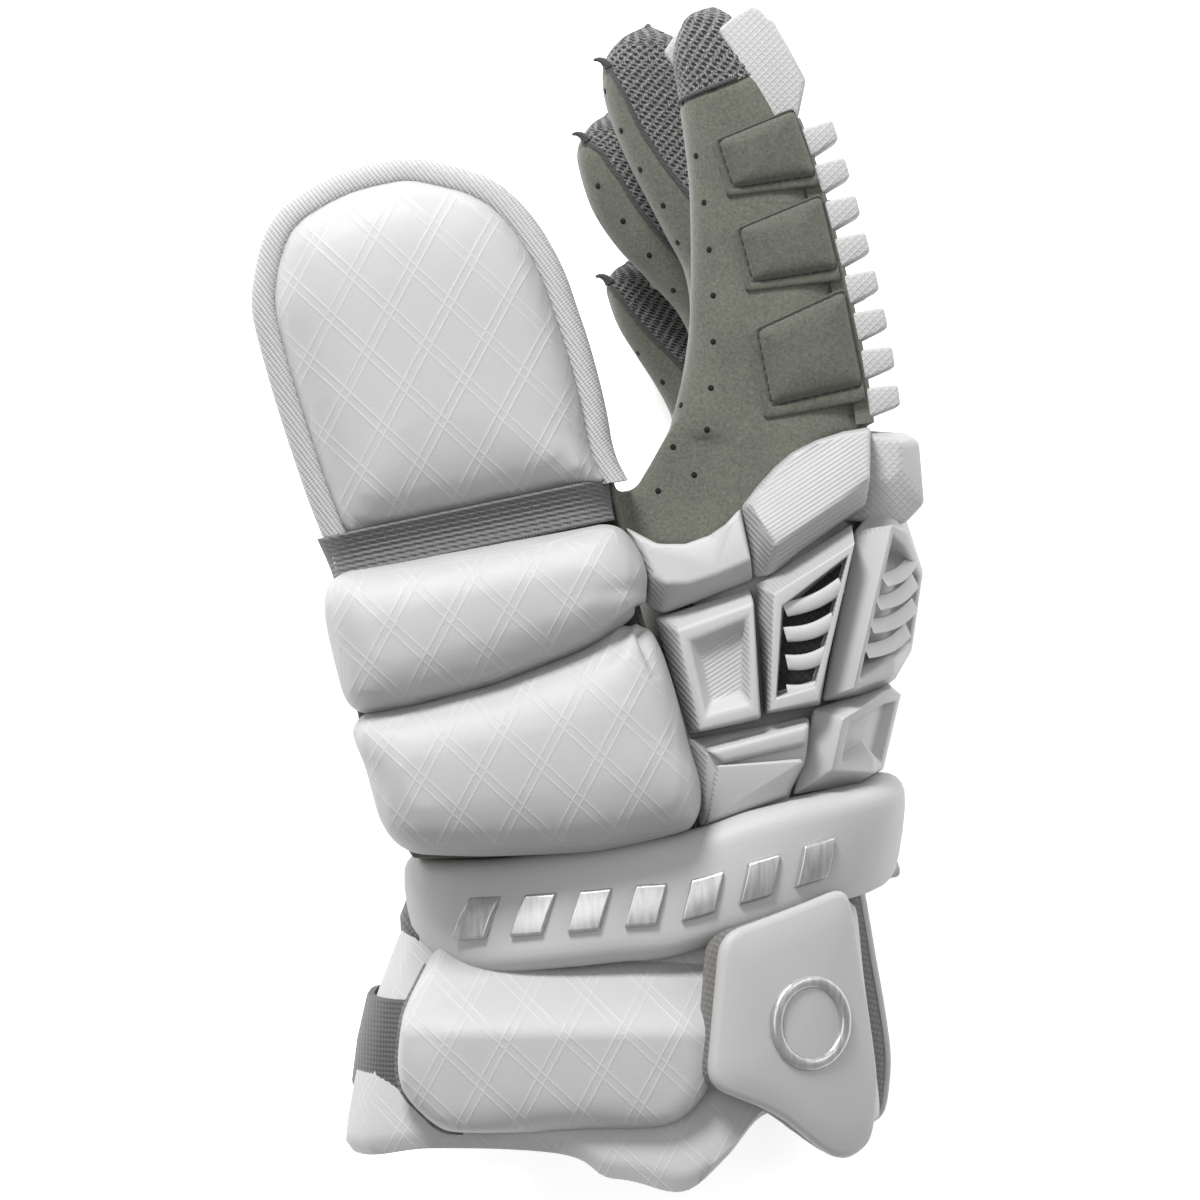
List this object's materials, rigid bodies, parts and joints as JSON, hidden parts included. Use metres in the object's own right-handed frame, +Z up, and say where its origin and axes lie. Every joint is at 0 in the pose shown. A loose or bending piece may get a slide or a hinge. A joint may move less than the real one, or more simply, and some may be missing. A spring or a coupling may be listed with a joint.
{
  "type": "lacrosse glove",
  "caption": "Right-hand lacrosse glove with padded thumb, ribbed finger backs, vented hand pads, wrist band and flared cuff, lying on its little-finger side",
  "frame": {"origin": "under the middle of the glove, on the surface that it lies on", "axes": "+Z up, the thumb side; +Y towards the finger tips; +X towards the back of the hand"},
  "size_m": [0.1844, 0.3234, 0.145],
  "materials": {
    "leather": "smooth white synthetic leather with a light sheen",
    "suede": "grey-green microfibre suede",
    "knit": "grey knit under the pads",
    "mesh": "dark grey open knit mesh",
    "webbing": "dark grey woven tape",
    "grip": "pale grip patch with a fine texture",
    "silver": "satin silver",
    "lining": "olive brushed lining"
  },
  "bodies": {
    "root": {"palm_panel": "suede", "thumb_palm": "suede", "hand_backing": "knit", "wrist_liner": "lining", "thumb_binding": "webbing", "thumb_flex_band": "webbing", "cuff_strap": "webbing", "thumb_pad": "leather", "thumb_upper_roll": "leather", "thumb_lower_pad": "leather", "web_block": "leather", "knuckle_side_block": "leather", "recessed_block": "leather", "vent_block_radial": "leather", "lower_block_radial": "leather", "knuckle_side_block_ulnar": "leather", "vent_block_ulnar": "leather", "lower_block_ulnar": "leather", "vent_block_dorsal_1": "leather", "vent_block_dorsal_2": "leather", "lower_block_dorsal_1": "leather", "lower_block_dorsal_2": "leather", "wrist_band": "leather", "cuff_radial_panel": "leather", "cuff_ulnar_panel": "leather", "cuff_dorsal_flap": "leather", "cuff_ulnar_flap": "leather", "index_palm": "suede", "index_gusset": "mesh", "index_backing": "leather", "index_tip_block": "leather", "index_knuckle_block": "leather", "middle_palm": "suede", "middle_gusset": "mesh", "middle_backing": "leather", "middle_tip_block": "leather", "middle_knuckle_block": "leather", "ring_palm": "suede", "ring_gusset": "mesh", "ring_backing": "leather", "ring_tip_block": "leather", "ring_knuckle_block": "leather", "pinky_palm": "suede", "pinky_gusset": "mesh", "pinky_backing": "leather", "pinky_tip_block": "leather", "pinky_knuckle_block": "leather", "index_grip_1": "grip", "index_grip_2": "grip", "index_grip_3": "grip", "band_stud_1": "silver", "band_stud_2": "silver", "band_stud_3": "silver", "band_stud_4": "silver", "band_stud_5": "silver", "band_stud_6": "silver", "band_stud_7": "silver", "cuff_ring": "silver", "cuff_sleeve": "leather"}
  },
  "joints": []
}
